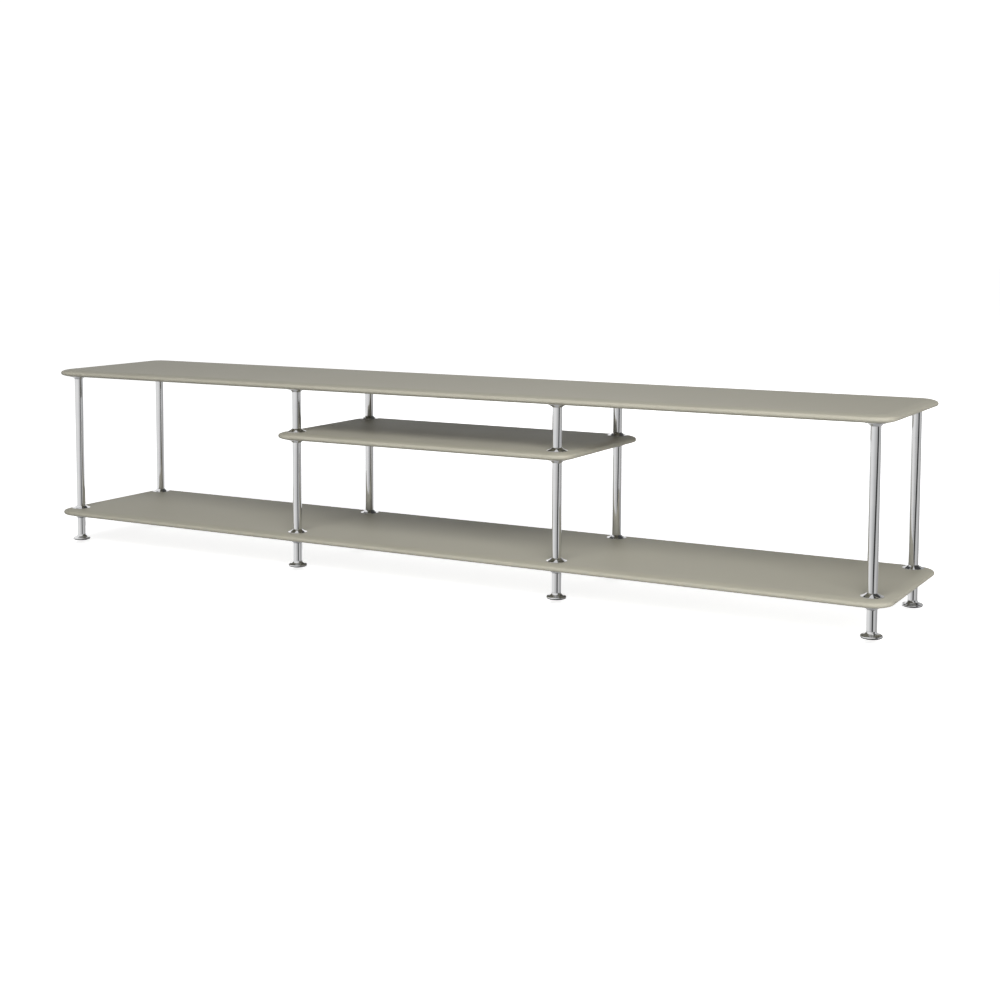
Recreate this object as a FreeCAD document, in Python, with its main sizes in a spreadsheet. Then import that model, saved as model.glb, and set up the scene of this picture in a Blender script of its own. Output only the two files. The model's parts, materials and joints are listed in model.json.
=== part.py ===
import FreeCAD, Part
import Sketcher
import math
import os

# Low open console: three lacquered boards with tapered edges, clamped between chromed tube posts.
# A tube ends in a flared collar at each board, and studs screw the collars together.
# Each of the eight legs stands on a flared foot that screws in and out to level the console.
# Millimetres, +Z up, front towards -Y, origin on the floor under the middle of the console.

doc = FreeCAD.newDocument("low_console")
sheet = doc.addObject("Spreadsheet::Sheet", "Sizes")

# Driving dimensions: name, value, meaning.
SIZES = (
    ("bay_pitch", 650, "between the centre lines of neighbouring posts along the console"),
    ("row_spacing", 294, "between the front and back rows of posts"),
    ("end_overhang", 41, "from the last post's centre line to the end of a board"),
    ("side_overhang", 42, "from a post's centre line to the front or back of a board"),
    ("board_thickness", 17, "thickness of all three boards"),
    ("board_corner_radius", 42, "corner of a board seen from above"),
    ("edge_flank_radius", 56, "long curve from each face of a board towards its edge"),
    ("edge_nose_radius", 5, "rounding of the edge between the two long curves"),
    ("bottom_clearance", 61, "from the floor to the underside of the bottom board"),
    ("lower_pitch", 227, "from the top of the bottom board to the top of the middle board"),
    ("upper_pitch", 113.5, "from the top of the middle board to the top of the top board"),
    ("tube_diameter", 20, "outside diameter of posts and legs"),
    ("tube_wall", 1.5, "wall of posts and legs"),
    ("collar_width", 11.5, "how far a collar's rim stands out from the tube"),
    ("collar_height", 7, "from the board to the end of the tube"),
    ("collar_rim", 1, "thickness of a collar at its rim"),
    ("collar_flare_radius", 30, "slightly hollow curve of a collar from its rim to its tube"),
    ("spigot_length", 10, "part of a collar inside the tube"),
    ("spigot_clearance", 0.1, "between a spigot or nut and the tube's bore, on the radius"),
    ("stud_diameter", 8, "threaded studs"),
    ("thread_clearance", 0.1, "between a stud and its thread, on the radius"),
    ("stud_reach", 8, "part of a joint stud inside a spigot"),
    ("lead_in", 0.8, "chamfer on the ends of studs and spigots"),
    ("stud_hole_clearance", 0.5, "between a stud and the hole in a board, on the radius"),
    ("insert_wall", 1.9, "wall of the threaded inserts under the top board"),
    ("insert_cover", 4, "board left above an insert's hole"),
    ("insert_end_gap", 1, "between an insert and the end of its hole"),
    ("insert_clearance", 0.1, "between an insert and its hole, on the radius"),
    ("nut_length", 12, "threaded nut in the lower end of a leg"),
    ("foot_width", 11, "how far a foot's rim stands out from the leg"),
    ("foot_height", 13.5, "from the floor to the lower end of a leg"),
    ("foot_rim", 5.4, "thickness of a foot's rounded rim"),
    ("foot_flare_radius", 8, "hollow curve of a foot from its rim to its leg"),
    ("foot_lip", 4.2, "wall of a foot round its glide"),
    ("foot_socket", 7, "depth of the stud's socket in a foot"),
    ("foot_travel", 10, "how far a foot screws out of its leg"),
    ("glide_thickness", 2, "plastic glide under a foot"),
    ("glide_recess", 1.2, "depth of a glide in its foot"),
    ("glide_clearance", 0.3, "between a glide and its foot, round the edge and the pin"),
    ("glide_pin_diameter", 5, "pin on which a foot turns over its glide"),
    ("glide_pin_length", 1.5, "height of that pin above the glide"),
)
for row, (alias, value, meaning) in enumerate(SIZES, start=1):
    sheet.set(f"A{row}", meaning)
    sheet.set(f"B{row}", str(value))
    sheet.setAlias(f"B{row}", alias)
doc.recompute()

# Posts stand on a grid about the middle: so many bay pitches along X and row spacings along Y.
def steps_from_middle(names):
    """How many steps each of a row of names stands from the middle of the row."""
    return {name: index - (len(names) - 1) / 2 for index, name in enumerate(names)}


COLUMNS = steps_from_middle(("left", "inner_left", "inner_right", "right"))
INNER_COLUMNS = {name: at for name, at in COLUMNS.items() if name.startswith("inner")}
OUTER_COLUMNS = {name: at for name, at in COLUMNS.items() if name not in INNER_COLUMNS}
ROWS = steps_from_middle(("front", "back"))

# Radii worked out from the sheet.
TUBE = "(Sizes.tube_diameter / 2)"
TUBE_BORE = f"({TUBE} - Sizes.tube_wall)"
SPIGOT = f"({TUBE_BORE} - Sizes.spigot_clearance)"
COLLAR = f"({TUBE} + Sizes.collar_width)"
STUD = "(Sizes.stud_diameter / 2)"
THREAD = f"({STUD} + Sizes.thread_clearance)"
STUD_HOLE = f"({STUD} + Sizes.stud_hole_clearance)"
INSERT = f"({THREAD} + Sizes.insert_wall)"
INSERT_HOLE = f"({INSERT} + Sizes.insert_clearance)"
FOOT = f"({TUBE} + Sizes.foot_width)"
FOOT_RIM_CENTRE = f"({FOOT} - Sizes.foot_rim / 2)"
GLIDE_RECESS = f"({FOOT} - Sizes.foot_lip)"
GLIDE = f"({GLIDE_RECESS} - Sizes.glide_clearance)"
GLIDE_PIN = "(Sizes.glide_pin_diameter / 2)"
GLIDE_PIN_HOLE = f"({GLIDE_PIN} + Sizes.glide_clearance)"

# Heights above the floor, and lengths along a post.
BOTTOM_UNDER = "Sizes.bottom_clearance"
BOTTOM_TOP = f"({BOTTOM_UNDER} + Sizes.board_thickness)"
MIDDLE_TOP = f"({BOTTOM_TOP} + Sizes.lower_pitch)"
MIDDLE_UNDER = f"({MIDDLE_TOP} - Sizes.board_thickness)"
TOP_UNDER = f"({MIDDLE_TOP} + Sizes.upper_pitch - Sizes.board_thickness)"
STUD_IN_POST = "(Sizes.collar_height + Sizes.stud_reach)"
INSERT_DEPTH = "(Sizes.board_thickness - Sizes.insert_cover)"
INSERT_LENGTH = f"({INSERT_DEPTH} - Sizes.insert_end_gap)"
FOOT_UNDER = "(Sizes.glide_thickness - Sizes.glide_recess)"
SOCKET_FLOOR = "(Sizes.foot_height - Sizes.foot_socket)"

nodes = {}


def evaluate(expression):
    """The number that an expression on the sheet gives now."""
    return float(sheet.evalExpression(expression))


def new_body(label):
    """A sub-part, whose label names its file."""
    body = doc.addObject("PartDesign::Body", label)
    body.Label = label
    nodes[label] = body
    return body


def origin_feature(body, role):
    """One of a body's own axes or planes."""
    return next(feature for feature in body.Origin.OriginFeatures if feature.Role == role)


def place(body, x="0", y="0", z="0"):
    """Ties a body's place to the sheet."""
    for axis, expression in (("x", x), ("y", y), ("z", z)):
        body.setExpression(f"Placement.Base.{axis}", expression)


def place_on_post(body, column, row, height):
    """Puts a body on the centre line of one post."""
    place(body, f"{column} * Sizes.bay_pitch", f"{row} * Sizes.row_spacing", height)


def new_sketch(body, plane, name):
    """An empty sketch on one of the body's own planes."""
    sketch = body.newObject("Sketcher::SketchObject", f"{body.Name}_{name}")
    sketch.AttachmentSupport = [(origin_feature(body, plane), "")]
    sketch.MapMode = "FlatFace"
    return sketch


def drive(sketch, name, expression, *reference):
    """Adds a dimension to a sketch and ties it to the sheet."""
    index = sketch.addConstraint(Sketcher.Constraint(*reference, evaluate(expression)))
    sketch.renameConstraint(index, name)
    sketch.setExpression(f"Constraints.{name}", expression)


def locate(sketch, name, geometry, point, x, y):
    """Ties a point of a sketch to expressions, or to an axis where one of them is zero.

    In a sketch, geometry -1 is the horizontal axis, whose point 1 is the origin, and -2 the vertical axis.
    """
    for direction, axis, expression in (("X", -2, x), ("Y", -1, y)):
        if expression == "0":
            sketch.addConstraint(Sketcher.Constraint("PointOnObject", geometry, point, axis))
        else:
            from_origin = (f"Distance{direction}", -1, 1, geometry, point)
            drive(sketch, f"{name}_{direction}", expression, *from_origin)


def draw_circle(sketch, name, radius, x="0", y="0"):
    """A circle with its centre and radius tied to the sheet."""
    centre = FreeCAD.Vector(evaluate(x), evaluate(y), 0)
    circle = sketch.addGeometry(Part.Circle(centre, FreeCAD.Vector(0, 0, 1), evaluate(radius)))
    locate(sketch, f"{name}_centre", circle, 3, x, y)
    drive(sketch, f"{name}_radius", radius, "Radius", circle)


def hollow_arc(rim, neck, radius):
    """The arc of a flare from its neck to its rim, with its centre outside the metal."""
    chord = rim - neck
    middle = (rim + neck) / 2
    rise = math.sqrt(radius**2 - (chord.Length / 2) ** 2)
    outwards = FreeCAD.Vector(-chord.y, chord.x, 0).normalize()
    centre = middle + outwards * rise
    bottom = centre - outwards * radius
    return Part.Arc(neck, bottom, rim)


def half_round(low, high):
    """The half circle of a rounded rim from its lower to its upper end, which stand above each other."""
    middle = (low + high) / 2
    outermost = middle + FreeCAD.Vector((high - low).Length / 2, 0, 0)
    return Part.Arc(low, outermost, high)


def draw_profile(sketch, corners, flare_from=None, flare_radius=None, round_from=None):
    """A closed outline through corners of radius and height.

    After one of them it may have a hollow arc, and after another the half circle of a rounded rim.
    """
    points = [FreeCAD.Vector(evaluate(radius), evaluate(height), 0) for radius, height in corners]
    ends = []
    for index, start in enumerate(points):
        finish = points[(index + 1) % len(points)]
        if corners[index] == flare_from:
            edge = sketch.addGeometry(hollow_arc(start, finish, evaluate(flare_radius)))
            drive(sketch, "flare", flare_radius, "Radius", edge)
            ends.append((edge, 2, 1))
        elif corners[index] == round_from:
            edge = sketch.addGeometry(half_round(start, finish))
            centre_from_axis = ("DistanceX", -1, 1, edge, 3)
            drive(sketch, "rim_centre", round_from[0], *centre_from_axis)
            ends.append((edge, 1, 2))
        else:
            edge = sketch.addGeometry(Part.LineSegment(start, finish))
            ends.append((edge, 1, 2))
    for index, (edge, start, finish) in enumerate(ends):
        next_edge, next_start, _ = ends[(index + 1) % len(ends)]
        sketch.addConstraint(Sketcher.Constraint("Coincident", edge, finish, next_edge, next_start))
        locate(sketch, f"corner_{index}", edge, start, *corners[index])


def turn(body, corners, **arcs):
    """Turns a profile of radii and heights, with any arcs in it, about the body's Z axis."""
    sketch = new_sketch(body, "XZ_Plane", "profile")
    draw_profile(sketch, corners, **arcs)
    turned = body.newObject("PartDesign::Revolution", f"{body.Name}_turned")
    turned.Profile = sketch
    turned.ReferenceAxis = (origin_feature(body, "Z_Axis"), [""])
    turned.Angle = 360
    return turned


def round_bar(body, radius, length, bore=None):
    """A bar along Z from the body's origin, or a tube where it has a bore."""
    sketch = new_sketch(body, "XY_Plane", "section")
    draw_circle(sketch, "outside", radius)
    if bore:
        draw_circle(sketch, "bore", bore)
    bar = body.newObject("PartDesign::Pad", f"{body.Name}_bar")
    bar.Profile = sketch
    bar.setExpression("Length", length)
    return bar


def repeat_on_posts(body, feature, columns, height, upside_down=False):
    """Repeats a feature as separate solids, one on each post of the given columns."""
    pattern = body.newObject("PartDesign::MultiTransform", f"{body.Name}_pattern")
    pattern.Originals = [feature]
    along = body.newObject("PartDesign::LinearPattern", f"{body.Name}_along")
    along.Direction = (origin_feature(body, "X_Axis"), [""])
    along.Occurrences = len(columns)
    along.setExpression("Length", f"{len(columns) - 1} * Sizes.bay_pitch")
    across = body.newObject("PartDesign::LinearPattern", f"{body.Name}_across")
    across.Direction = (origin_feature(body, "Y_Axis"), [""])
    across.Occurrences = len(ROWS)
    across.setExpression("Length", "Sizes.row_spacing")
    pattern.Transformations = [along, across]
    body.Tip = pattern
    first_row = ROWS["front"]
    if upside_down:
        body.Placement.Rotation = FreeCAD.Rotation(FreeCAD.Vector(1, 0, 0), 180)
        first_row = ROWS["back"]
    place_on_post(body, min(columns.values()), first_row, height)


def draw_edge_section(sketch, width):
    """Half of a board's section, from the vertical axis out to its edge.

    A long curve leaves each flat face, and a small nose joins the two curves at mid thickness.
    """
    flank = evaluate("Sizes.edge_flank_radius")
    nose = evaluate("Sizes.edge_nose_radius")
    thickness = evaluate("Sizes.board_thickness")
    nose_centre = FreeCAD.Vector(evaluate(width) - nose, thickness / 2, 0)
    rise = flank - thickness / 2
    run = math.sqrt((flank - nose) ** 2 - rise**2)
    lean = math.atan2(rise, run)
    flat = nose_centre.x - run
    lower_centre = FreeCAD.Vector(flat, flank, 0)
    upper_centre = FreeCAD.Vector(flat, thickness - flank, 0)
    upright = FreeCAD.Vector(0, 0, 1)
    inner_low = FreeCAD.Vector(0, 0, 0)
    inner_high = FreeCAD.Vector(0, thickness, 0)
    edges = (
        Part.LineSegment(inner_low, FreeCAD.Vector(flat, 0, 0)),
        Part.ArcOfCircle(Part.Circle(lower_centre, upright, flank), -math.pi / 2, -lean),
        Part.ArcOfCircle(Part.Circle(nose_centre, upright, nose), -lean, lean),
        Part.ArcOfCircle(Part.Circle(upper_centre, upright, flank), lean, math.pi / 2),
        Part.LineSegment(FreeCAD.Vector(flat, thickness, 0), inner_high),
        Part.LineSegment(inner_high, inner_low),
    )
    numbers = [sketch.addGeometry(edge) for edge in edges]
    underside, lower_flank, nose_arc, upper_flank, face, inner = numbers
    smooth = numbers[:-1]
    for edge, next_edge in zip(smooth, smooth[1:]):
        sketch.addConstraint(Sketcher.Constraint("Tangent", edge, 2, next_edge, 1))
    sketch.addConstraint(Sketcher.Constraint("Coincident", face, 2, inner, 1))
    sketch.addConstraint(Sketcher.Constraint("Coincident", inner, 2, underside, 1))
    sketch.addConstraint(Sketcher.Constraint("Horizontal", underside))
    sketch.addConstraint(Sketcher.Constraint("Horizontal", face))
    locate(sketch, "inner_low", underside, 1, "0", "0")
    locate(sketch, "inner_high", inner, 1, "0", "Sizes.board_thickness")
    drive(sketch, "lower_flank", "Sizes.edge_flank_radius", "Radius", lower_flank)
    drive(sketch, "upper_flank", "Sizes.edge_flank_radius", "Radius", upper_flank)
    drive(sketch, "nose", "Sizes.edge_nose_radius", "Radius", nose_arc)
    nose_x = f"({width} - Sizes.edge_nose_radius)"
    locate(sketch, "nose_centre", nose_arc, 3, nose_x, "Sizes.board_thickness / 2")


def extend_edge(body, name, plane, width, length, reverse):
    """A straight length of board on one side of the middle, with its edge along the outer side."""
    sketch = new_sketch(body, plane, f"{name}_section")
    draw_edge_section(sketch, width)
    straight = body.newObject("PartDesign::Pad", f"{body.Name}_{name}")
    straight.Profile = sketch
    straight.Reversed = reverse
    straight.setExpression("Length", length)
    return straight


def turn_corner(body, x, y):
    """A quarter of a round board about an upright axis, with its edge round the outside."""
    sketch = new_sketch(body, "XZ_Plane", "corner_section")
    sketch.setExpression("AttachmentOffset.Base.x", x)
    sketch.setExpression("AttachmentOffset.Base.z", f"-{y}")
    draw_edge_section(sketch, "Sizes.board_corner_radius")
    corner = body.newObject("PartDesign::Revolution", f"{body.Name}_corner")
    corner.Profile = sketch
    corner.ReferenceAxis = (sketch, ["V_Axis"])
    corner.Angle = 90
    return corner


def mirror_both_ways(body, features):
    """Copies features of one quarter of a body to the other three quarters."""
    mirroring = body.newObject("PartDesign::MultiTransform", f"{body.Name}_quarters")
    mirroring.Originals = features
    mirrors = []
    for plane in ("YZ_Plane", "XZ_Plane"):
        mirror = body.newObject("PartDesign::Mirrored", f"{body.Name}_mirror_{plane}")
        mirror.MirrorPlane = (origin_feature(body, plane), [""])
        mirrors.append(mirror)
    mirroring.Transformations = mirrors
    body.Tip = mirroring


def make_board(label, bays, underside, columns, hole_radius, hole_depth=None):
    """A board over a number of bays: round corners, a tapered edge, and a hole from below at each post."""
    body = new_body(label)
    half_length = f"({bays} * Sizes.bay_pitch / 2 + Sizes.end_overhang)"
    half_depth = "(Sizes.row_spacing / 2 + Sizes.side_overhang)"
    corner_x = f"({half_length} - Sizes.board_corner_radius)"
    corner_y = f"({half_depth} - Sizes.board_corner_radius)"
    back = extend_edge(body, "back", "YZ_Plane", half_depth, corner_x, reverse=False)
    end = extend_edge(body, "end", "XZ_Plane", half_length, corner_y, reverse=True)
    mirror_both_ways(body, [back, end, turn_corner(body, corner_x, corner_y)])
    drilling = new_sketch(body, "XY_Plane", "drilling")
    for column, at in columns.items():
        for row, across in ROWS.items():
            place_x = f"{at} * Sizes.bay_pitch"
            place_y = f"{across} * Sizes.row_spacing"
            draw_circle(drilling, f"{row}_{column}", hole_radius, place_x, place_y)
    holes = body.newObject("PartDesign::Pocket", f"{label}_holes")
    holes.Profile = drilling
    holes.Reversed = True
    if hole_depth:
        holes.setExpression("Length", hole_depth)
    else:
        holes.Type = "ThroughAll"
    place(body, z=underside)


def make_collars(label, columns, height, upside_down=False):
    """Flared collars against one face of a board, each tapped for a stud, with a spigot for its tube."""
    body = new_body(label)
    rim = (COLLAR, "Sizes.collar_rim")
    spigot_end = "(Sizes.collar_height + Sizes.spigot_length)"
    collar = turn(
        body,
        (
            (THREAD, "0"),
            (COLLAR, "0"),
            rim,
            (TUBE, "Sizes.collar_height"),
            (SPIGOT, "Sizes.collar_height"),
            (SPIGOT, f"({spigot_end} - Sizes.lead_in)"),
            (f"({SPIGOT} - Sizes.lead_in)", spigot_end),
            (THREAD, spigot_end),
        ),
        flare_from=rim,
        flare_radius="Sizes.collar_flare_radius",
    )
    repeat_on_posts(body, collar, columns, height, upside_down)


def turn_stud(body, length):
    """A stud along Z from the body's origin, chamfered at both ends."""
    stud_end = f"({STUD} - Sizes.lead_in)"
    return turn(
        body,
        (
            ("0", "0"),
            (stud_end, "0"),
            (STUD, "Sizes.lead_in"),
            (STUD, f"({length} - Sizes.lead_in)"),
            (stud_end, length),
            ("0", length),
        ),
    )


def make_studs(label, columns, lower_end, length):
    """Studs that screw a post to a board, or two posts to each other through a board."""
    body = new_body(label)
    repeat_on_posts(body, turn_stud(body, length), columns, lower_end)


def make_posts(prefix, columns, board_below, board_above):
    """Tubes between the collars of two boards, one on each post of the given columns."""
    for column, at in columns.items():
        for row, across in ROWS.items():
            body = new_body(f"{prefix}_{row}_{column}")
            lower_end = f"({board_below} + Sizes.collar_height)"
            length = f"({board_above} - Sizes.collar_height - {lower_end})"
            round_bar(body, TUBE, length, TUBE_BORE)
            place_on_post(body, at, across, lower_end)


def make_leg(place_name, column, row):
    """A short tube under the bottom board, down to the neck of its foot."""
    body = new_body(f"leg_{place_name}")
    length = f"({BOTTOM_UNDER} - Sizes.collar_height - Sizes.foot_height)"
    round_bar(body, TUBE, length, TUBE_BORE)
    place_on_post(body, column, row, "Sizes.foot_height")


def make_foot(place_name, column, row):
    """A foot with a rounded rim and a flare up to its leg.

    It has a socket for its stud above, and a recess and a pin hole for its glide below.
    """
    body = new_body(f"foot_{place_name}")
    rim_low = (FOOT_RIM_CENTRE, FOOT_UNDER)
    rim_high = (FOOT_RIM_CENTRE, f"({FOOT_UNDER} + Sizes.foot_rim)")
    pin_hole_end = "(Sizes.glide_thickness + Sizes.glide_pin_length + Sizes.glide_clearance)"
    turn(
        body,
        (
            ("0", pin_hole_end),
            (GLIDE_PIN_HOLE, pin_hole_end),
            (GLIDE_PIN_HOLE, "Sizes.glide_thickness"),
            (GLIDE_RECESS, "Sizes.glide_thickness"),
            (GLIDE_RECESS, FOOT_UNDER),
            rim_low,
            rim_high,
            (TUBE, "Sizes.foot_height"),
            (STUD, "Sizes.foot_height"),
            (STUD, SOCKET_FLOOR),
            ("0", SOCKET_FLOOR),
        ),
        flare_from=rim_high,
        flare_radius="Sizes.foot_flare_radius",
        round_from=rim_low,
    )
    place_on_post(body, column, row, "0")


def make_foot_stud(place_name, column, row):
    """The stud fixed in a foot's socket, which screws into the nut of its leg."""
    body = new_body(f"foot_stud_{place_name}")
    turn_stud(body, "(Sizes.foot_socket + Sizes.nut_length + Sizes.foot_travel)")
    place_on_post(body, column, row, SOCKET_FLOOR)


def make_glide(place_name, column, row):
    """A plastic disc that lies still on the floor while its foot turns on its pin."""
    body = new_body(f"glide_{place_name}")
    pin_end = "(Sizes.glide_thickness + Sizes.glide_pin_length)"
    turn(
        body,
        (
            ("0", "0"),
            (GLIDE, "0"),
            (GLIDE, "Sizes.glide_thickness"),
            (GLIDE_PIN, "Sizes.glide_thickness"),
            (GLIDE_PIN, pin_end),
            ("0", pin_end),
        ),
    )
    place_on_post(body, column, row, "0")


# Boards: the bottom and middle boards are drilled through, the top board only from below.
make_board("bottom_board", 3, BOTTOM_UNDER, COLUMNS, STUD_HOLE)
make_board("middle_board", 1, MIDDLE_UNDER, INNER_COLUMNS, STUD_HOLE)
make_board("top_board", 3, TOP_UNDER, COLUMNS, INSERT_HOLE, INSERT_DEPTH)

# Posts: whole tubes at the ends, and two shorter ones above each other where the middle board is.
make_posts("end_post", OUTER_COLUMNS, BOTTOM_TOP, TOP_UNDER)
make_posts("lower_post", INNER_COLUMNS, BOTTOM_TOP, MIDDLE_UNDER)
make_posts("upper_post", INNER_COLUMNS, MIDDLE_TOP, TOP_UNDER)

# Collars on both faces of the bottom and middle boards and under the top board.
make_collars("bottom_board_lower_collars", COLUMNS, BOTTOM_UNDER, upside_down=True)
make_collars("bottom_board_upper_collars", COLUMNS, BOTTOM_TOP)
make_collars("middle_board_lower_collars", INNER_COLUMNS, MIDDLE_UNDER, upside_down=True)
make_collars("middle_board_upper_collars", INNER_COLUMNS, MIDDLE_TOP)
make_collars("top_board_collars", COLUMNS, TOP_UNDER, upside_down=True)

# Studs through the lower boards and into the inserts of the top board.
through_board = f"(Sizes.board_thickness + 2 * {STUD_IN_POST})"
into_top_board = f"({STUD_IN_POST} + {INSERT_LENGTH})"
make_studs("bottom_board_studs", COLUMNS, f"({BOTTOM_UNDER} - {STUD_IN_POST})", through_board)
make_studs("middle_board_studs", INNER_COLUMNS, f"({MIDDLE_UNDER} - {STUD_IN_POST})", through_board)
make_studs("top_board_studs", COLUMNS, f"({TOP_UNDER} - {STUD_IN_POST})", into_top_board)
inserts = new_body("top_board_inserts")
insert = round_bar(inserts, INSERT, INSERT_LENGTH, THREAD)
repeat_on_posts(inserts, insert, COLUMNS, TOP_UNDER)

# Legs, each with a nut in its lower end for the stud of its foot.
leg_nuts = new_body("leg_nuts")
nut = round_bar(leg_nuts, SPIGOT, "Sizes.nut_length", THREAD)
repeat_on_posts(leg_nuts, nut, COLUMNS, "Sizes.foot_height")
for column, at in COLUMNS.items():
    for row, across in ROWS.items():
        for make_piece in (make_leg, make_foot, make_foot_stud, make_glide):
            make_piece(f"{row}_{column}", at, across)

doc.recompute()
failed = [item.Label for item in doc.Objects if {"Invalid", "Error"} & set(item.State)]
failed += [label for label, body in nodes.items() if body.Shape.isNull() or not body.Shape.isValid()]
if failed:
    raise RuntimeError(f"these pieces did not build: {failed}")

os.makedirs("parts", exist_ok=True)
for label, body in nodes.items():
    body.Shape.exportStep(f"parts/{label}.step")
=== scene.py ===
import json
import math

import bpy
import numpy as np
from mathutils.geometry import delaunay_2d_cdt
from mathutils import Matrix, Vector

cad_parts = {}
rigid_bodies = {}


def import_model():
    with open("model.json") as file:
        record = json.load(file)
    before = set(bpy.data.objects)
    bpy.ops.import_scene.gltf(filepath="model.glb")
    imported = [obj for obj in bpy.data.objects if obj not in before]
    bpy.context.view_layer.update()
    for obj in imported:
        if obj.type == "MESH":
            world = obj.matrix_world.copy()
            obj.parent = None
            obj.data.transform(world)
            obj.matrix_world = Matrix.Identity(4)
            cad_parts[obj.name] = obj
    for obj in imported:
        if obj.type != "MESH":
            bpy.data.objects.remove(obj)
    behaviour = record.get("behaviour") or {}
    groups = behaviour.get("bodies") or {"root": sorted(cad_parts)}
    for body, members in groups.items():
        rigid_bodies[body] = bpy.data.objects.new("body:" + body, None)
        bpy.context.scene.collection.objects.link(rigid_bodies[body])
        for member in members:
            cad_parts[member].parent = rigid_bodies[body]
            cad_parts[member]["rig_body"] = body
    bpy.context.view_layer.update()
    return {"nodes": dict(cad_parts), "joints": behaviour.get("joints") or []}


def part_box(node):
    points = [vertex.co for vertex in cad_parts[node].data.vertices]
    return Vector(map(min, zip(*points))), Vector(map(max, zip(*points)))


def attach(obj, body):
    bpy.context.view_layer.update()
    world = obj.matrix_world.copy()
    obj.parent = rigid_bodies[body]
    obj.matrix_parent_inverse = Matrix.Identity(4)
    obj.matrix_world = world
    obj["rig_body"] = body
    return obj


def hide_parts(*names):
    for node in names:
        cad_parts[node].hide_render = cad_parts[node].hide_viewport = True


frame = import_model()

# Glides
# A thin disc of black moulded nylon lies on the floor under each foot. A short pin in its middle sits in the
# foot, which turns over the disc while the console is levelled.
post_axes = {
    joint["child"].removeprefix("foot_"): joint["pos_m"][:2]
    for joint in frame["joints"]
    if joint["type"] == "hinge"
}
GLIDE_RADIUS = 0.0165
GLIDE_THICKNESS = 0.002
GLIDE_PIN_RADIUS = 0.0025
GLIDE_EASE = 0.0004


def eased(corners, ease, least_turn=20, most_of_side=0.45, steps=5, least_gap=1e-7):
    """Rounds the corners of an outline of radius and height. A corner that turns by over least_turn degrees is
    cut back along both sides by ease, or by most_of_side of the shorter side if that is less, and the cut is
    bridged by the curve (1-t)^2 start + 2t(1-t) corner + t^2 end. Corners on the axis stay as they are, and a
    point within least_gap of the one before it is left out."""
    corners = np.array(corners, float)
    to_last = np.roll(corners, 1, axis=0) - corners
    to_next = np.roll(corners, -1, axis=0) - corners
    last_length = np.linalg.norm(to_last, axis=1, keepdims=True)
    next_length = np.linalg.norm(to_next, axis=1, keepdims=True)
    straightness = -np.sum(to_last * to_next, axis=1, keepdims=True) / (last_length * next_length)
    turns = (straightness < math.cos(math.radians(least_turn))) & (corners[:, :1] > 0)
    cut = np.where(turns, np.minimum(ease, most_of_side * np.minimum(last_length, next_length)), 0)
    start = (corners + to_last / last_length * cut)[:, None]
    end = (corners + to_next / next_length * cut)[:, None]
    t = np.linspace(0, 1, steps)[None, :, None]
    curves = (1 - t) ** 2 * start + 2 * t * (1 - t) * corners[:, None] + t**2 * end
    points = curves.reshape(-1, 2)
    moves = np.linalg.norm(points - np.roll(points, 1, axis=0), axis=1)
    return points[moves > least_gap]


def ring_faces(rings, segments, closed):
    """Quads between neighbouring rings of a grid, and from the last ring to the first where it is closed."""
    ring = np.arange(rings if closed else rings - 1)[:, None] * segments
    next_ring = (ring + segments) % (rings * segments)
    step = np.arange(segments)[None, :]
    next_step = (step + 1) % segments
    quads = np.stack([ring + step, ring + next_step, next_ring + next_step, next_ring + step], axis=2)
    return quads.reshape(-1, 4).tolist()


def closed_by_fans(points, segments, first_tip, last_tip):
    """Rings of points with quads between neighbours, and a fan of triangles from each end ring to a tip."""
    step = np.arange(segments)
    next_step = (step + 1) % segments
    last_ring = len(points) - segments
    first = np.full(segments, len(points))
    faces = ring_faces(len(points) // segments, segments, closed=False)
    faces += np.stack([first, next_step, step], axis=1).tolist()
    faces += np.stack([first + 1, last_ring + step, last_ring + next_step], axis=1).tolist()
    return np.vstack([points, first_tip, last_tip]), faces


def turned(profile, axis, segments=72):
    """Carries a profile of radius and height round an upright axis: each of its points becomes a circle of
    that radius at that height. A profile that starts and ends on the axis gets a point there at both ends,
    joined by a fan, and any other profile closes on itself."""
    open_ended = profile[0, 0] == 0
    rings = profile[1:-1] if open_ended else profile
    turn = np.arange(segments) * 2 * np.pi / segments
    x = axis[0] + rings[:, :1] * np.cos(turn)
    y = axis[1] + rings[:, :1] * np.sin(turn)
    z = np.repeat(rings[:, 1:], segments, axis=1)
    points = np.stack([x, y, z], axis=2).reshape(-1, 3)
    if open_ended:
        return closed_by_fans(points, segments, [*axis, profile[0, 1]], [*axis, profile[-1, 1]])
    return points, ring_faces(len(rings), segments, closed=True)


def add_piece(name, shape, material, node, sharp_from=35):
    """Puts points and faces into a mesh of the given material that takes the place and the body of a CAD node.
    Edges where it turns by over sharp_from degrees stay sharp."""
    points, faces = shape
    mesh = bpy.data.meshes.new(name)
    mesh.from_pydata(points.tolist(), [], faces)
    mesh.shade_smooth()
    mesh.set_sharp_from_angle(angle=math.radians(sharp_from))
    mesh.materials.append(material)
    piece = bpy.data.objects.new(name, mesh)
    bpy.context.scene.collection.objects.link(piece)
    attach(piece, frame["nodes"][node]["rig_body"])
    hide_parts(node)


def new_material(name):
    """A material with its nodes and shader, and the Object coordinates that its patterns are laid out in."""
    material = bpy.data.materials.new(name)
    material.use_nodes = True
    tree = material.node_tree
    coordinates = tree.nodes.new("ShaderNodeTexCoord")
    return material, tree, tree.nodes["Principled BSDF"], coordinates.outputs["Object"]


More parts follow.
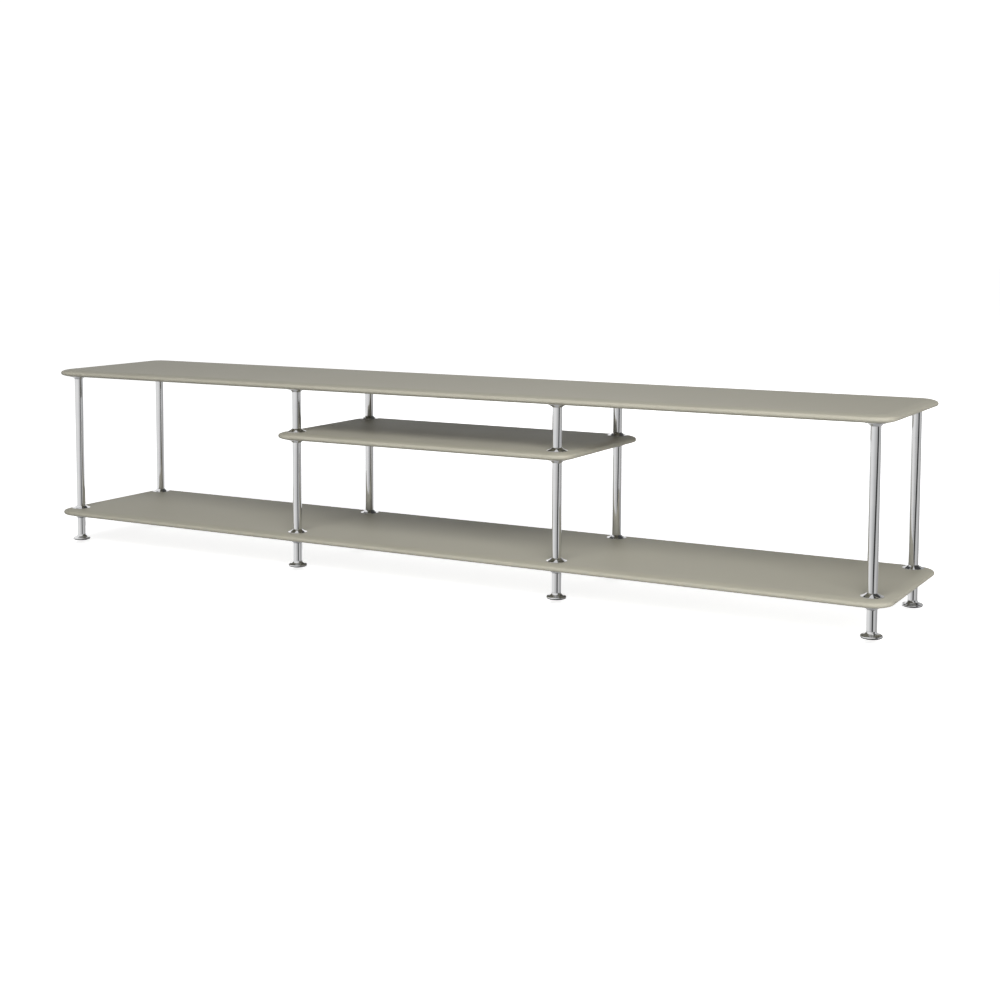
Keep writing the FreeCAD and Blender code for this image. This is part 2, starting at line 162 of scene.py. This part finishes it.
def noise(tree, where, scale, detail):
    """Cloudy noise with about scale clouds to the metre, broken up more finely as detail grows."""
    clouds = tree.nodes.new("ShaderNodeTexNoise")
    clouds.inputs["Scale"].default_value = scale
    clouds.inputs["Detail"].default_value = detail
    tree.links.new(where, clouds.inputs["Vector"])
    return clouds.outputs["Fac"]


def carried(tree, value, span, levels):
    """A value carried from a span over to levels: straight between the two ends, and held beyond them."""
    step = tree.nodes.new("ShaderNodeMapRange")
    step.inputs["From Min"].default_value, step.inputs["From Max"].default_value = span
    step.inputs["To Min"].default_value, step.inputs["To Max"].default_value = levels
    tree.links.new(value, step.inputs["Value"])
    return step.outputs["Result"]


def vary_colour(tree, value, shader, dark, light, span=(0, 1)):
    """Takes a shader's colour from dark to light as a value goes through a span."""
    ramp = tree.nodes.new("ShaderNodeValToRGB")
    for stop, position, colour in zip(ramp.color_ramp.elements, span, (dark, light)):
        stop.position = position
        stop.color = (*colour, 1)
    tree.links.new(value, ramp.inputs["Fac"])
    tree.links.new(ramp.outputs["Color"], shader.inputs["Base Color"])


def vary_roughness(tree, value, shader, low, high):
    """Takes a shader's roughness from low to high as a value goes from 0 to 1."""
    tree.links.new(carried(tree, value, (0, 1), (low, high)), shader.inputs["Roughness"])


def add_bump(tree, height, shader, strength, distance):
    """Tilts the surface that a shader sees as if a value were its height."""
    bump = tree.nodes.new("ShaderNodeBump")
    bump.inputs["Strength"].default_value = strength
    bump.inputs["Distance"].default_value = distance
    tree.links.new(height, bump.inputs["Height"])
    tree.links.new(bump.outputs["Normal"], shader.inputs["Normal"])


def moulded_nylon():
    """Black nylon with the fine even grain of a spark-eroded mould and slightly scuffed patches."""
    material, tree, shader, where = new_material("moulded_nylon")
    scuff = noise(tree, where, scale=160, detail=6)
    vary_colour(tree, scuff, shader, (0.010, 0.010, 0.011), (0.030, 0.030, 0.031))
    vary_roughness(tree, scuff, shader, 0.45, 0.70)
    grain = noise(tree, where, scale=2500, detail=3)
    add_bump(tree, grain, shader, strength=0.25, distance=0.0001)
    return material


nylon = moulded_nylon()
for place, axis in post_axes.items():
    pin_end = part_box(f"glide_{place}")[1].z
    glide_profile = eased(
        (
            (0, 0),
            (GLIDE_RADIUS, 0),
            (GLIDE_RADIUS, GLIDE_THICKNESS),
            (GLIDE_PIN_RADIUS, GLIDE_THICKNESS),
            (GLIDE_PIN_RADIUS, pin_end),
            (0, pin_end),
        ),
        GLIDE_EASE,
    )
    add_piece(f"nylon_glide_{place}", turned(glide_profile, axis), nylon, f"glide_{place}")

# Feet
# A foot is turned from steel bar and chromed: a fully rounded rim, a hollow flare up to the width of the leg,
# a socket for its stud, and below a recess with a pin hole for the glide.
TUBE_RADIUS = 0.010
FOOT_RADIUS = 0.021
FOOT_UNDERSIDE = 0.0008
FOOT_RIM = 0.0054
FOOT_FLARE_RADIUS = 0.008
GLIDE_RECESS_RADIUS = 0.0168
PIN_HOLE_RADIUS = 0.0028
PIN_HOLE_END = 0.0038
SOCKET_RADIUS = 0.004
SOCKET_FLOOR = 0.0065
FOOT_EASE = 0.0004


def rounded_rim(radius, lower_end, thickness, steps=24):
    """Points round the outer half of a circle as wide as the rim is thick, from its lower to its upper end.
    Its outermost point lies at the given radius."""
    angle = np.linspace(-np.pi / 2, np.pi / 2, steps)
    half = thickness / 2
    return np.stack([radius - half + half * np.cos(angle), lower_end + half + half * np.sin(angle)], axis=1)


def flare(rim, neck, radius, steps=20):
    """Points along the hollow arc from a rim to a neck, each a radius and a height. The arc's centre lies on
    the middle line of the chord between them, on the outer side, at the height that its radius gives."""
    rim, neck = np.array(rim), np.array(neck)
    chord = neck - rim
    length = np.linalg.norm(chord)
    outwards = np.array([abs(chord[1]), abs(chord[0]) * np.sign(chord[1])]) / length
    centre = (rim + neck) / 2 + outwards * math.sqrt(radius**2 - (length / 2) ** 2)
    from_centre, to_centre = rim - centre, neck - centre
    first = math.atan2(from_centre[1], from_centre[0])
    sweep = math.atan2(to_centre[1], to_centre[0]) - first
    sweep = (sweep + math.pi) % (2 * math.pi) - math.pi
    angle = first + np.linspace(0, 1, steps) * sweep
    return centre + radius * np.stack([np.cos(angle), np.sin(angle)], axis=1)


def polished_chrome():
    """Bright chrome plate: a mirror whose roughness wanders a little, with very fine polishing marks that are
    drawn out along the tube."""
    material, tree, shader, where = new_material("polished_chrome")
    shader.inputs["Metallic"].default_value = 1
    haze = noise(tree, where, scale=35, detail=5)
    vary_colour(tree, haze, shader, (0.755, 0.760, 0.770), (0.800, 0.800, 0.800), span=(0.3, 0.7))
    vary_roughness(tree, haze, shader, 0.02, 0.08)
    drawn_out = tree.nodes.new("ShaderNodeMapping")
    drawn_out.inputs["Scale"].default_value = (1, 1, 0.08)
    tree.links.new(where, drawn_out.inputs["Vector"])
    polish = noise(tree, drawn_out.outputs["Vector"], scale=900, detail=4)
    add_bump(tree, polish, shader, strength=0.02, distance=0.0001)
    return material


chrome = polished_chrome()
for place, axis in post_axes.items():
    foot_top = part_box(f"foot_{place}")[1].z
    rim = rounded_rim(FOOT_RADIUS, FOOT_UNDERSIDE, FOOT_RIM)
    foot_profile = eased(
        (
            (0, PIN_HOLE_END),
            (PIN_HOLE_RADIUS, PIN_HOLE_END),
            (PIN_HOLE_RADIUS, GLIDE_THICKNESS),
            (GLIDE_RECESS_RADIUS, GLIDE_THICKNESS),
            (GLIDE_RECESS_RADIUS, FOOT_UNDERSIDE),
            *rim[:-1],
            *flare(rim[-1], (TUBE_RADIUS, foot_top), FOOT_FLARE_RADIUS),
            (SOCKET_RADIUS, foot_top),
            (SOCKET_RADIUS, SOCKET_FLOOR),
            (0, SOCKET_FLOOR),
        ),
        FOOT_EASE,
    )
    add_piece(f"chromed_foot_{place}", turned(foot_profile, axis, segments=96), chrome, f"foot_{place}")

# Levelling studs
# A zinc plated M8 stud is pressed into the socket of each foot. Its rolled thread runs in the nut of the leg,
# and shows between leg and foot when the foot is screwed out.
STUD_RADIUS = 0.004
STUD_CHAMFER = 0.0008
THREAD_PITCH = 0.00125
THREAD_DEPTH = 0.000767
THREAD_CREST_END = 0.125
THREAD_ROOT_START = 0.75


def threaded_stud(axis, bottom, top, segments=40, steps_per_pitch=8):
    """A round bar whose radius is its crest less a depth that follows height / pitch - turn / full turn: no
    depth at the crest, all of it at the root, straight flanks between. At both ends the radius is held under
    a cone, and a fan closes the end."""
    rows = round((top - bottom) / THREAD_PITCH * steps_per_pitch) + 1
    height = np.linspace(bottom, top, rows)[:, None]
    turn = np.arange(segments)[None, :] * 2 * np.pi / segments
    phase = (height / THREAD_PITCH - turn / (2 * np.pi)) % 1
    from_crest = np.abs(2 * phase - 1)
    down_flank = (from_crest - THREAD_CREST_END) / (THREAD_ROOT_START - THREAD_CREST_END)
    depth = THREAD_DEPTH * np.clip(down_flank, 0, 1)
    from_end = np.minimum(height - bottom, top - height)
    radius = np.minimum(STUD_RADIUS - depth, STUD_RADIUS - STUD_CHAMFER + from_end)
    x = axis[0] + radius * np.cos(turn)
    y = axis[1] + radius * np.sin(turn)
    points = np.stack([x, y, np.repeat(height, segments, axis=1)], axis=2).reshape(-1, 3)
    return closed_by_fans(points, segments, [*axis, bottom], [*axis, top])


def zinc_plate():
    """Blue-white zinc plating: a soft metal with a crystalline spangle in its colour and a cloudy gloss."""
    material, tree, shader, where = new_material("zinc_plate")
    shader.inputs["Metallic"].default_value = 1
    spangle = tree.nodes.new("ShaderNodeTexVoronoi")
    spangle.inputs["Scale"].default_value = 1400
    tree.links.new(where, spangle.inputs["Vector"])
    vary_colour(tree, spangle.outputs["Distance"], shader, (0.46, 0.48, 0.51), (0.66, 0.67, 0.68))
    vary_roughness(tree, noise(tree, where, scale=220, detail=5), shader, 0.25, 0.45)
    return material


zinc = zinc_plate()
for place, axis in post_axes.items():
    stud_low, stud_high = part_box(f"foot_stud_{place}")
    stud = threaded_stud(axis, stud_low.z, stud_high.z)
    add_piece(f"threaded_foot_stud_{place}", stud, zinc, f"foot_stud_{place}")

# Leg nuts and joint studs
# Zinc plated steel as well: a tapped nut in the lower end of each leg, and the M8 studs that pull the collars
# against the boards. All of them are inside the tubes and boards once the console is together.
for node in ("leg_nuts", "bottom_board_studs", "middle_board_studs", "top_board_studs"):
    frame["nodes"][node].data.materials.clear()
    frame["nodes"][node].data.materials.append(zinc)

# Legs and posts
# Lengths of chromed steel tube with a thin wall, cut square and lightly deburred. They slide over the spigots
# of the collars and are held by the studs that pull the collars together.
TUBE_WALL = 0.0015
TUBE_DEBURR = 0.0003
# A ring this far from each end keeps the reflections along the tube straight.
TUBE_END_RING = 0.001
inner_axes = {place: axis for place, axis in post_axes.items() if "inner" in place}
end_axes = {place: axis for place, axis in post_axes.items() if "inner" not in place}
tube_axes = {"leg": post_axes, "end_post": end_axes, "lower_post": inner_axes, "upper_post": inner_axes}
for kind, axes in tube_axes.items():
    for place, axis in axes.items():
        tube = f"{kind}_{place}"
        lower_end, upper_end = (corner.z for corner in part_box(tube))
        tube_profile = eased(
            (
                (TUBE_RADIUS - TUBE_WALL, lower_end),
                (TUBE_RADIUS, lower_end),
                (TUBE_RADIUS, lower_end + TUBE_END_RING),
                (TUBE_RADIUS, upper_end - TUBE_END_RING),
                (TUBE_RADIUS, upper_end),
                (TUBE_RADIUS - TUBE_WALL, upper_end),
            ),
            TUBE_DEBURR,
        )
        add_piece(f"chromed_{tube}", turned(tube_profile, axis, segments=96), chrome, tube)

# Collars
# Flared steel turnings, chromed like the tubes. The thin rim lies against a board, the hollow flare runs up to
# the tube, and a spigot inside the tube is tapped for the stud.
COLLAR_RADIUS = 0.0215
COLLAR_FLARE_RADIUS = 0.030
COLLAR_HEIGHT = 0.007
COLLAR_RIM = 0.001
SPIGOT_RADIUS = 0.0084
SPIGOT_CHAMFER = 0.0008
TAPPED_RADIUS = 0.0041
COLLAR_EASE = 0.00035


def collar(axis, board_face, spigot_end):
    """One collar, drawn as radius and distance from the board, and carried round the axis of its post. A
    collar under a board has its profile mirrored and taken the other way round."""
    away = math.copysign(1, spigot_end - board_face)
    reach = abs(spigot_end - board_face)
    profile = eased(
        (
            (TAPPED_RADIUS, 0),
            (COLLAR_RADIUS, 0),
            *flare((COLLAR_RADIUS, COLLAR_RIM), (TUBE_RADIUS, COLLAR_HEIGHT), COLLAR_FLARE_RADIUS),
            (SPIGOT_RADIUS, COLLAR_HEIGHT),
            (SPIGOT_RADIUS, reach - SPIGOT_CHAMFER),
            (SPIGOT_RADIUS - SPIGOT_CHAMFER, reach),
            (TAPPED_RADIUS, reach),
        ),
        COLLAR_EASE,
    )
    profile = profile * (1, away) + (0, board_face)
    return turned(profile if away > 0 else profile[::-1], axis, segments=96)


def gathered(parts):
    """Several sets of points and faces as one, with the face numbers of each moved past those before it."""
    starts = np.cumsum([0] + [len(points) for points, _ in parts])
    faces = []
    for start, (_, part_faces) in zip(starts, parts):
        faces += (np.array(part_faces) + start).tolist()
    return np.vstack([points for points, _ in parts]), faces


for node in frame["nodes"]:
    if node.endswith("_collars"):
        low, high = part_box(node)
        board_to_spigot = (low.z, high.z) if "upper" in node else (high.z, low.z)
        axes = inner_axes if node.startswith("middle") else post_axes
        collars = gathered([collar(axis, *board_to_spigot) for axis in axes.values()])
        add_piece(f"chromed_{node}", collars, chrome, node)

# Boards
# Fibreboard with rounded corners. Both faces curve in towards a slim rounded edge all round, and every face is
# sprayed with a satin warm grey lacquer. The two lower boards are drilled through at the posts, the top board
# only from below.
BOARD_CORNER = 0.042
EDGE_FLANK = 0.056
EDGE_NOSE = 0.005
# The mesh of the edge runs on over the flat faces by this much, which keeps their reflections flat.
EDGE_FACE_MARGIN = 0.002
STUD_HOLE_RADIUS = 0.0045
INSERT_HOLE_RADIUS = 0.0061
INSERT_HOLE_DEPTH = 0.013


def board_outline(half_length, half_depth, arc_steps=28, long_steps=60, short_steps=12):
    """The centre line and the outward directions of a rounded rectangle: its points are the centre line plus
    the corner radius times the direction, which turns at the corners and stays still along the sides."""
    reach = np.array([half_length - BOARD_CORNER, half_depth - BOARD_CORNER])
    signs = np.array([[1, 1], [-1, 1], [-1, -1], [1, -1]])
    centres, angles = [], []
    for corner in range(4):
        here, there = signs[corner] * reach, signs[(corner + 1) % 4] * reach
        along = np.linspace(0, 1, short_steps if corner % 2 else long_steps)[1:-1, None]
        centres += [np.repeat([here], arc_steps, axis=0), here + (there - here) * along]
        angles += [np.linspace(corner, corner + 1, arc_steps), np.full(len(along), corner + 1)]
    angle = np.concatenate(angles) * np.pi / 2
    return np.vstack(centres), np.stack([np.cos(angle), np.sin(angle)], axis=1)


def board_edge(thickness, flank_steps=14, nose_steps=10):
    """How far the outline is drawn in, and the height over the underside, round a board's edge from below.
    Two long arcs leave the faces, and a small arc at mid thickness touches both. By Pythagoras the long arcs
    start sqrt((flank - nose)^2 - (flank - thickness / 2)^2) inside the centre of the small one."""
    rise = EDGE_FLANK - thickness / 2
    run = math.sqrt((EDGE_FLANK - EDGE_NOSE) ** 2 - rise**2)
    lean = math.atan2(rise, run)
    nose_angle = np.linspace(0, lean, nose_steps)[:-1]
    nose = EDGE_NOSE * np.stack([1 - np.cos(nose_angle), np.sin(nose_angle)], axis=1)
    flank_angle = np.linspace(lean, math.pi / 2, flank_steps)
    flank = EDGE_FLANK * np.stack([-np.cos(flank_angle), np.sin(flank_angle)], axis=1)
    flank += (EDGE_NOSE + run, -rise)
    flat = [[EDGE_NOSE + run + EDGE_FACE_MARGIN, thickness / 2]]
    upper = np.vstack([nose, flank, flat])
    lower = upper[:0:-1] * (1, -1)
    return np.vstack([lower, upper]) + (0, thickness / 2)


def circle(radius, segments):
    """Points at even steps round a circle about the origin."""
    turn = np.arange(segments) * 2 * np.pi / segments
    return radius * np.stack([np.cos(turn), np.sin(turn)], axis=1)


def flat_face(outline, holes, height, upwards, nearness=1e-9):
    """A flat face inside an outline and round its holes, cut into triangles that all face up or all down. A
    triangle is one whose circle holds no other point, and those whose middle lies in a hole are left out."""
    loops = [outline, *holes]
    points = np.vstack(loops)
    rims = np.split(np.arange(len(points)), np.cumsum([len(loop) for loop in loops])[:-1])
    edges = np.vstack([np.column_stack([rim, np.roll(rim, -1)]) for rim in rims])
    inside_edges = 1
    points, _, triangles, *_ = delaunay_2d_cdt(points.tolist(), edges.tolist(), [], inside_edges, nearness)
    points, triangles = np.array(points), np.array(triangles)
    for hole in holes:
        centre = hole.mean(axis=0)
        off_centre = np.linalg.norm(points[triangles].mean(axis=1) - centre, axis=1)
        triangles = triangles[off_centre > np.linalg.norm(hole[0] - centre)]
    if not upwards:
        triangles = triangles[:, ::-1]
    return np.column_stack([points, np.full(len(points), height)]), triangles.tolist()


def board(low, high, axes, hole_radius, hole_depth, hole_segments=40):
    """A rounded rectangle carried up the board's edge: at each height the outline is drawn in as the section
    of the edge says. The two flat faces and the walls of the drilled holes close it."""
    inset, height = board_edge(high.z - low.z).T
    centres, directions = board_outline((high.x - low.x) / 2, (high.y - low.y) / 2)
    outlines = centres[None] + directions[None] * (BOARD_CORNER - inset)[:, None, None]
    levels = np.repeat(low.z + height[:, None], len(centres), axis=1)
    points = np.dstack([outlines, levels]).reshape(-1, 3)
    parts = [(points, ring_faces(len(height), len(centres), closed=False))]
    holes = [circle(hole_radius, hole_segments) + axis for axis in axes]
    through = hole_depth >= high.z - low.z
    parts.append(flat_face(outlines[0], holes, low.z, upwards=False))
    parts.append(flat_face(outlines[-1], holes if through else [], high.z, upwards=True))
    for hole in holes:
        mouth = np.column_stack([hole, np.full(hole_segments, low.z)])
        end = mouth + (0, 0, hole_depth)
        parts.append((np.vstack([end, mouth]), ring_faces(2, hole_segments, closed=False)))
        if not through:
            parts.append(flat_face(hole, [], low.z + hole_depth, upwards=False))
    return gathered(parts)


def satin_lacquer():
    """Warm grey lacquer, sprayed and left satin: an even colour with a trace of cloudiness, the shallow
    dimples of sprayed paint, and a gloss that wanders a little."""
    material, tree, shader, where = new_material("satin_lacquer")
    shader.inputs["Specular IOR Level"].default_value = 0.22
    cloud = noise(tree, where, scale=7, detail=6)
    vary_colour(tree, cloud, shader, (0.302, 0.289, 0.237), (0.318, 0.305, 0.251), span=(0.3, 0.7))
    vary_roughness(tree, cloud, shader, 0.46, 0.58)
    dimples = noise(tree, where, scale=420, detail=2)
    add_bump(tree, dimples, shader, strength=0.04, distance=0.0002)
    return material


lacquer = satin_lacquer()
for node in ("bottom_board", "middle_board", "top_board"):
    low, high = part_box(node)
    axes = inner_axes if node == "middle_board" else post_axes
    hole = (STUD_HOLE_RADIUS, high.z - low.z)
    if node == "top_board":
        hole = (INSERT_HOLE_RADIUS, INSERT_HOLE_DEPTH)
    add_piece(f"lacquered_{node}", board(low, high, axes.values(), *hole), lacquer, node)

# Inserts of the top board
# Turned brass bushes, tapped for the top studs and pressed into the holes under the top board, so that no
# fixing shows on its upper face.


def turned_brass():
    """Yellow brass with the fine rings that a lathe tool leaves."""
    material, tree, shader, where = new_material("turned_brass")
    shader.inputs["Metallic"].default_value = 1
    rings = tree.nodes.new("ShaderNodeTexWave")
    rings.bands_direction = "Z"
    rings.inputs["Scale"].default_value = 1500
    rings.inputs["Distortion"].default_value = 1.5
    tree.links.new(where, rings.inputs["Vector"])
    vary_colour(tree, rings.outputs["Fac"], shader, (0.55, 0.38, 0.13), (0.72, 0.53, 0.22))
    vary_roughness(tree, rings.outputs["Fac"], shader, 0.22, 0.36)
    return material


inserts = frame["nodes"]["top_board_inserts"].data
inserts.materials.clear()
inserts.materials.append(turned_brass())

# Floor
# A wide plain floor lies just under the reach of the feet and takes the soft shadow of the console. The camera
# sees it lifted towards white, all the way beyond the shadow. Chrome and lacquer mirror the studio instead.
FLOOR_HALF_WIDTH = 40
FLOOR_LEVEL = -0.0102
FLOOR_COLOUR = (0.75, 0.75, 0.75, 1)
WHITE = (1, 1, 1, 1)
LIFT_UNDER_CONSOLE = 0.84
LIFT_AWAY = 1.0
LIFT_DISTANCES = (1.2, 3.0)


def combined(tree, operation, first, second):
    """The value that an operation makes of two others."""
    pair = tree.nodes.new("ShaderNodeMath")
    pair.operation = operation
    tree.links.new(first, pair.inputs[0])
    tree.links.new(second, pair.inputs[1])
    return pair.outputs["Value"]


def pale_floor():
    """Matt pale grey that shines for the camera alone, more and more with the distance from the console."""
    material, tree, shader, where = new_material("pale_floor")
    shader.inputs["Roughness"].default_value = 1
    shader.inputs["Specular IOR Level"].default_value = 0
    shader.inputs["Base Color"].default_value = FLOOR_COLOUR
    shader.inputs["Emission Color"].default_value = WHITE
    distance = tree.nodes.new("ShaderNodeVectorMath")
    distance.operation = "LENGTH"
    tree.links.new(where, distance.inputs[0])
    lift = carried(tree, distance.outputs["Value"], LIFT_DISTANCES, (LIFT_UNDER_CONSOLE, LIFT_AWAY))
    for_camera = tree.nodes.new("ShaderNodeLightPath").outputs["Is Camera Ray"]
    tree.links.new(combined(tree, "MULTIPLY", lift, for_camera), shader.inputs["Emission Strength"])
    return material


def add_to_studio(name, points, faces, material, unseen_by):
    """A mesh of one material that stands in the studio, and that the named kinds of rays pass by."""
    mesh = bpy.data.meshes.new(name)
    mesh.from_pydata(points.tolist(), [], faces)
    mesh.materials.append(material)
    piece = bpy.data.objects.new(name, mesh)
    for rays in unseen_by:
        setattr(piece, f"visible_{rays}", False)
    bpy.context.scene.collection.objects.link(piece)
    return piece


floor_sides = FLOOR_HALF_WIDTH * np.array([[-1, -1], [1, -1], [1, 1], [-1, 1]])
floor_points = np.column_stack([floor_sides, np.full(4, FLOOR_LEVEL)])
floor = add_to_studio("studio_floor", floor_points, [(0, 1, 2, 3)], pale_floor(), unseen_by=["glossy"])

# Shade under the feet
# The chrome of a real foot mirrors the floor in the foot's own shade. As mirrors pass the floor by here, they
# see a dark disc just above it round each foot.
SHADE_RADIUS = 0.05
SHADE_HEIGHT = -0.0101
SHADE_SEGMENTS = 48
SHADE_COLOUR = (0.03, 0.03, 0.03, 1)
ALL_BUT_MIRRORS = ("camera", "diffuse", "shadow", "transmission")
shade_material, _, shader, _ = new_material("contact_shade")
shader.inputs["Base Color"].default_value = SHADE_COLOUR
shader.inputs["Specular IOR Level"].default_value = 0
shade_ring = circle(SHADE_RADIUS, SHADE_SEGMENTS)
shades = gathered([flat_face(shade_ring + axis, [], SHADE_HEIGHT, upwards=True) for axis in post_axes.values()])
shade = add_to_studio("contact_shade", *shades, shade_material, unseen_by=ALL_BUT_MIRRORS)

# Surroundings
# The camera sees a white backdrop, and a faint light comes from all round. Mirrors see pale walls, a grey
# floor, and a ceiling that is bright towards the front left and dark elsewhere.
AMBIENT = 0.03
BACKDROP = 1.06
MIRRORED_WALLS = 0.85
MIRRORED_FLOOR = 0.50
MIRRORED_CEILING = 0.06
MIRRORED_KEY = 0.90
UP = (0, 0, 1)
TOWARDS_KEY = (-0.5, -0.85, 0)
FLOOR_TO_WALLS = (-0.40, -0.30)
WALLS_TO_CEILING = (0.45, 0.55)
CEILING_TO_KEY = (-0.15, 0.05)
world = bpy.data.worlds.new("studio")
world.use_nodes = True
bpy.context.scene.world = world
sky = world.node_tree
sky.nodes.clear()
direction = sky.nodes.new("ShaderNodeTexCoord").outputs["Generated"]
rays = sky.nodes.new("ShaderNodeLightPath")


def mirrored_step(axis, span, levels):
    """A value that goes from one level to another across a span of the mirrored direction along an axis."""
    along = sky.nodes.new("ShaderNodeVectorMath")
    along.operation = "DOT_PRODUCT"
    along.inputs[1].default_value = axis
    sky.links.new(direction, along.inputs[0])
    return carried(sky, along.outputs["Value"], span, levels)


def background():
    """A white light from all round: the socket for its strength, and the light itself."""
    light = sky.nodes.new("ShaderNodeBackground")
    light.inputs["Color"].default_value = WHITE
    return light.inputs["Strength"], light.outputs["Background"]


def seen_by(kind, seen, otherwise):
    """One light for one kind of rays, and another for all others."""
    mix = sky.nodes.new("ShaderNodeMixShader")
    sky.links.new(rays.outputs[kind], mix.inputs["Fac"])
    sky.links.new(otherwise, mix.inputs[1])
    sky.links.new(seen, mix.inputs[2])
    return mix.outputs["Shader"]


overhead = sky.nodes.new("ShaderNodeMix")
sky.links.new(mirrored_step(UP, WALLS_TO_CEILING, (0, 1)), overhead.inputs["Factor"])
below = mirrored_step(UP, FLOOR_TO_WALLS, (MIRRORED_FLOOR, MIRRORED_WALLS))
sky.links.new(below, overhead.inputs["A"])
above = mirrored_step(TOWARDS_KEY, CEILING_TO_KEY, (MIRRORED_CEILING, MIRRORED_KEY))
sky.links.new(above, overhead.inputs["B"])
mirrored_strength, mirrored = background()
sky.links.new(overhead.outputs["Result"], mirrored_strength)
ambient_strength, ambient = background()
ambient_strength.default_value = AMBIENT
backdrop_strength, backdrop = background()
backdrop_strength.default_value = BACKDROP
surroundings = seen_by("Is Camera Ray", backdrop, seen_by("Is Glossy Ray", mirrored, ambient))
sky.links.new(surroundings, sky.nodes.new("ShaderNodeOutputWorld").inputs["Surface"])

# Screens and flags
# A round wall that only mirrors see holds pale screens and dark flags, which give the chrome its upright
# stripes. They lean, which moves the stripes of the legs against those of the posts.
WALL_RADIUS = 3.5
WALL_ENDS = (-1.3, 2.0)
WALL_SEGMENTS = 180
LEAN_HEIGHTS = (-0.45, 0.05)
SCREENS_LEAN = 30
SCREENS = (
    (-180, 0.87),
    (-124, 0.87),
    (-94, 0.68),
    (-60, 0.45),
    (-51, 0.02),
    (-38, 0.02),
    (-31, 0.50),
    (-14, 0.66),
    (10, 0.45),
    (40, 0.38),
    (60, 0.50),
    (80, 1.00),
    (180, 0.90),
)


def screens_and_flags():
    """Light from the wall by the direction of each of its points seen from the middle, in degrees from +X. The
    screens lean: between two heights, the direction that is looked up turns back by the lean."""
    material = bpy.data.materials.new("screens_and_flags")
    material.use_nodes = True
    tree = material.node_tree
    tree.nodes.clear()
    across = tree.nodes.new("ShaderNodeSeparateXYZ")
    tree.links.new(tree.nodes.new("ShaderNodeTexCoord").outputs["Object"], across.inputs["Vector"])
    azimuth = combined(tree, "ARCTAN2", across.outputs["Y"], across.outputs["X"])
    lean = carried(tree, across.outputs["Z"], LEAN_HEIGHTS, (0, -math.radians(SCREENS_LEAN)))
    round_wall = carried(tree, combined(tree, "ADD", azimuth, lean), (-math.pi, math.pi), (0, 1))
    screens = tree.nodes.new("ShaderNodeValToRGB")
    stops = screens.color_ramp.elements
    stops.remove(stops[1])
    for degrees, brightness in SCREENS:
        stops.new((degrees + 180) / 360).color = (brightness, brightness, brightness, 1)
    stops.remove(stops[0])
    tree.links.new(round_wall, screens.inputs["Fac"])
    glow = tree.nodes.new("ShaderNodeEmission")
    tree.links.new(screens.outputs["Color"], glow.inputs["Color"])
    tree.links.new(glow.outputs["Emission"], tree.nodes.new("ShaderNodeOutputMaterial").inputs["Surface"])
    material.cycles.emission_sampling = "NONE"
    return material


wall_ring = circle(WALL_RADIUS, WALL_SEGMENTS)
wall_points = np.vstack([np.column_stack([wall_ring, np.full(WALL_SEGMENTS, end)]) for end in WALL_ENDS])
wall_faces = ring_faces(len(WALL_ENDS), WALL_SEGMENTS, closed=False)
wall = add_to_studio("studio_wall", wall_points, wall_faces, screens_and_flags(), unseen_by=ALL_BUT_MIRRORS)

# Soft boxes
# Wide lamps in front, to the right and behind light the console, and two low ones reach under its boards.
# Mirrors pass them by, because the screens stand in for them there.
CONSOLE_MIDDLE = (0, 0, 0.25)


def soft_box(name, place, width, height, power):
    """An area lamp at a place, turned so that its face looks at the console. Mirrors pass it by."""
    lamp = bpy.data.lights.new(name, "AREA")
    lamp.shape = "RECTANGLE"
    lamp.size, lamp.size_y = width, height
    lamp.energy = power
    box = bpy.data.objects.new(name, lamp)
    x, y, z = np.array(place) - CONSOLE_MIDDLE
    box.location = place
    box.rotation_euler = (math.atan2(math.hypot(x, y), z), 0, math.atan2(x, -y))
    box.visible_glossy = False
    bpy.context.scene.collection.objects.link(box)


soft_box("front_box", (0.9, -3.0, 3.2), width=3.0, height=2.0, power=138)
soft_box("right_box", (3.2, -3.2, 2.6), width=2.5, height=2.0, power=142)
soft_box("back_box", (0, 4.2, 1.8), width=4.0, height=2.0, power=60)
soft_box("low_box", (1.0, -4.2, 0.45), width=4.0, height=0.7, power=50)
soft_box("low_right_box", (4.6, -0.6, 0.45), width=3.0, height=0.7, power=60)

# Camera
# It stands to the right in front of the console, a little above it, and looks slightly down. The shift crops
# the picture as the photograph is cropped.
camera_data = bpy.data.cameras.new("camera")
camera_data.sensor_width = 36
camera_data.lens = 57.513
camera_data.shift_x = 0.0326
camera_data.shift_y = -0.1237
camera = bpy.data.objects.new("camera", camera_data)
camera.location = (1.77110, -3.03175, 0.73803)
camera.rotation_euler = (math.radians(85.016), 0, math.radians(29.863))
bpy.context.scene.collection.objects.link(camera)
bpy.context.scene.camera = camera
bpy.context.scene.view_settings.view_transform = "Standard"
